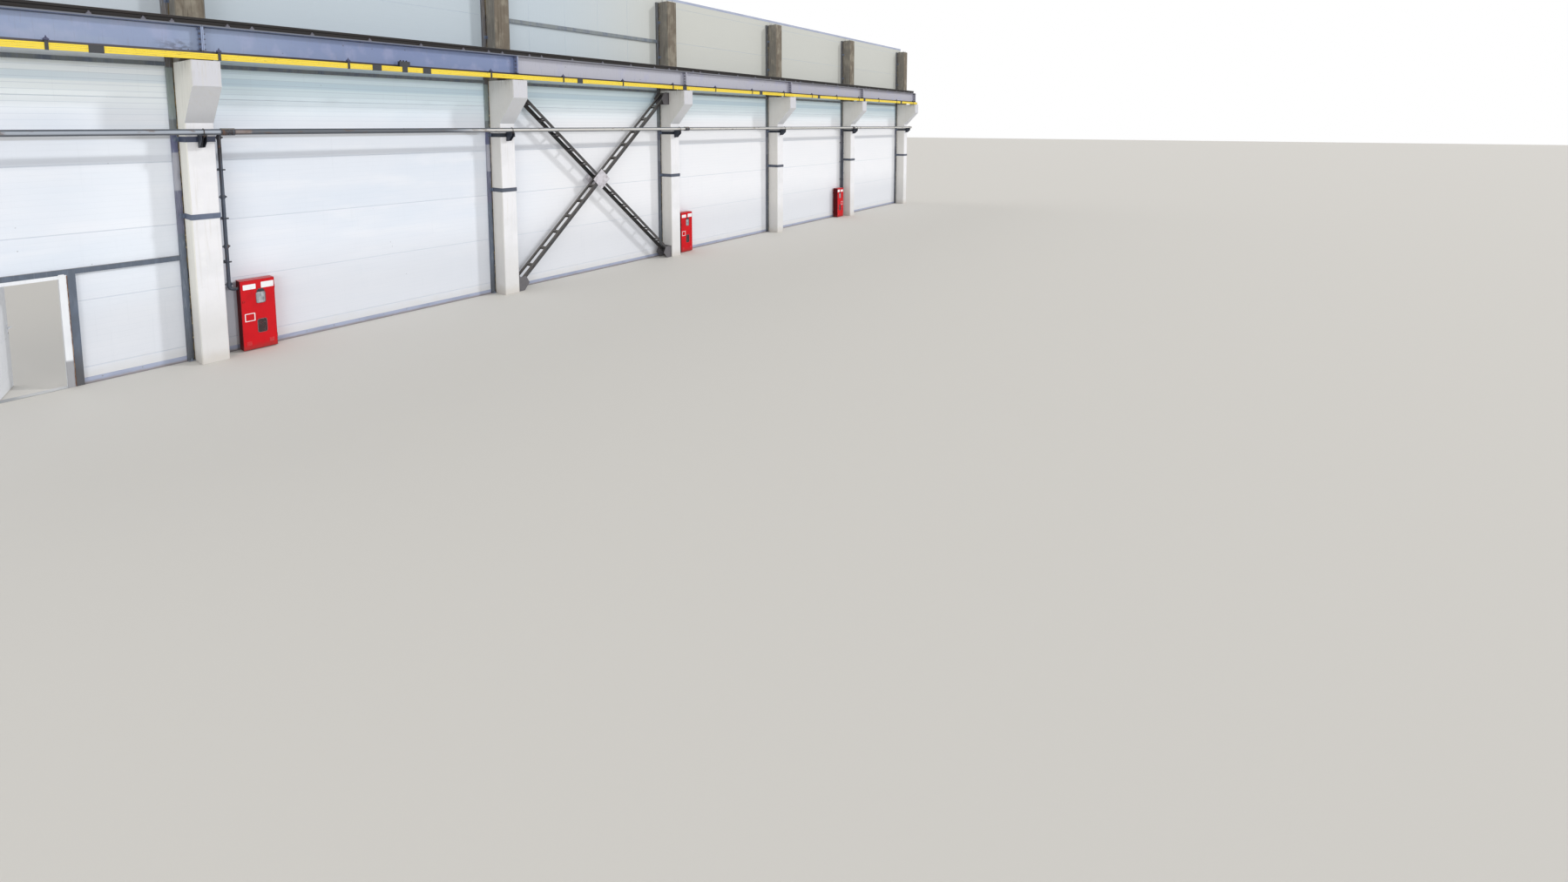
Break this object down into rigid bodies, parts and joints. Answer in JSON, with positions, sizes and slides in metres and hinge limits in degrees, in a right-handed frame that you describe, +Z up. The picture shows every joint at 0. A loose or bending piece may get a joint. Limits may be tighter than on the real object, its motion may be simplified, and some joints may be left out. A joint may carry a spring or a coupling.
{
  "type": "crane hall side wall",
  "caption": "Long inner side wall of a factory's crane hall: concrete columns with corbels, crane girder and rail, sandwich panels, doorway, bracing, fire main and hose cabinets.",
  "frame": {"origin": "centre of the middle column's foot, at floor level", "axes": "+X along the wall, -Y into the hall, +Z up"},
  "size_m": [36.6, 2.0369, 8.633],
  "materials": {
    "painted_concrete": "precast concrete, limewashed to the corbel, bare above",
    "steel_plates": "thick plate, primed and dirty",
    "blue_grey_steel": "blue-grey primer, satin",
    "girder_paint": "lilac-grey oil paint, satin",
    "rail_steel": "dark rolled rail, worn bright on the head",
    "conductor_yellow": "yellow insulating sheath",
    "conductor_black": "black moulded clamps and sleeves",
    "panel_sheet": "bluish white coated sheet, finely ribbed",
    "flashing_sheet": "grey coated sheet",
    "door_white": "white coated profile",
    "pipe_paint": "grey oil paint",
    "bracket_black": "near-black paint",
    "riser_paint": "dark grey paint",
    "cabinet_red": "red powder coat",
    "brace_steel": "dark primer with rust",
    "gusset_steel": "pale paint"
  },
  "bodies": {
    "wall": {"column_1": "painted_concrete", "column_2": "painted_concrete", "column_3": "painted_concrete", "column_4": "painted_concrete", "column_5": "painted_concrete", "column_6": "painted_concrete", "column_7": "painted_concrete", "column_plates": "steel_plates", "column_straps": "blue_grey_steel", "crane_girder_1": "girder_paint", "crane_girder_2": "girder_paint", "crane_girder_3": "girder_paint", "crane_girder_4": "girder_paint", "crane_girder_5": "girder_paint", "crane_girder_6": "girder_paint", "crane_rail": "rail_steel", "conductor_bars": "conductor_yellow", "conductor_fittings": "conductor_black", "wall_posts": "blue_grey_steel", "wall_girts": "blue_grey_steel", "door_trimmers": "blue_grey_steel", "panels_bay_1_left": "panel_sheet", "panels_bay_1_right": "panel_sheet", "panels_bay_1_over": "panel_sheet", "panels_bay_2": "panel_sheet", "panels_bay_3": "panel_sheet", "panels_bay_4": "panel_sheet", "panels_bay_5": "panel_sheet", "panels_bay_6": "panel_sheet", "foot_flashing": "flashing_sheet", "outer_flashings": "flashing_sheet", "door_frame": "door_white", "fire_main": "pipe_paint", "main_brackets": "bracket_black", "fire_risers": "riser_paint", "brace_rising": "brace_steel", "brace_falling": "brace_steel", "brace_gussets": "gusset_steel", "fire_cabinet_1": "cabinet_red", "fire_cabinet_2": "cabinet_red", "fire_cabinet_3": "cabinet_red"},
    "door_leaf": {"door_leaf": "door_white"},
    "cabinet_door_1": {"cabinet_door_1": "cabinet_red"},
    "cabinet_door_2": {"cabinet_door_2": "cabinet_red"},
    "cabinet_door_3": {"cabinet_door_3": "cabinet_red"}
  },
  "joints": [
    {"name": "door_swing", "type": "hinge", "parent": "wall", "child": "door_leaf", "pos_m": [-14.5755, 0.398, 0.9], "axis": [0, 0, 1], "range_deg": [-75, 30]},
    {"name": "cabinet_door_1_swing", "type": "hinge", "parent": "wall", "child": "cabinet_door_1", "pos_m": [-10.984, 0.0205, 0.7], "axis": [0, 0, 1], "range_deg": [0, 110]},
    {"name": "cabinet_door_2_swing", "type": "hinge", "parent": "wall", "child": "cabinet_door_2", "pos_m": [1.016, 0.0205, 0.7], "axis": [0, 0, 1], "range_deg": [0, 110]},
    {"name": "cabinet_door_3_swing", "type": "hinge", "parent": "wall", "child": "cabinet_door_3", "pos_m": [10.984, 0.0205, 0.7], "axis": [0, 0, -1], "range_deg": [0, 110]}
  ]
}
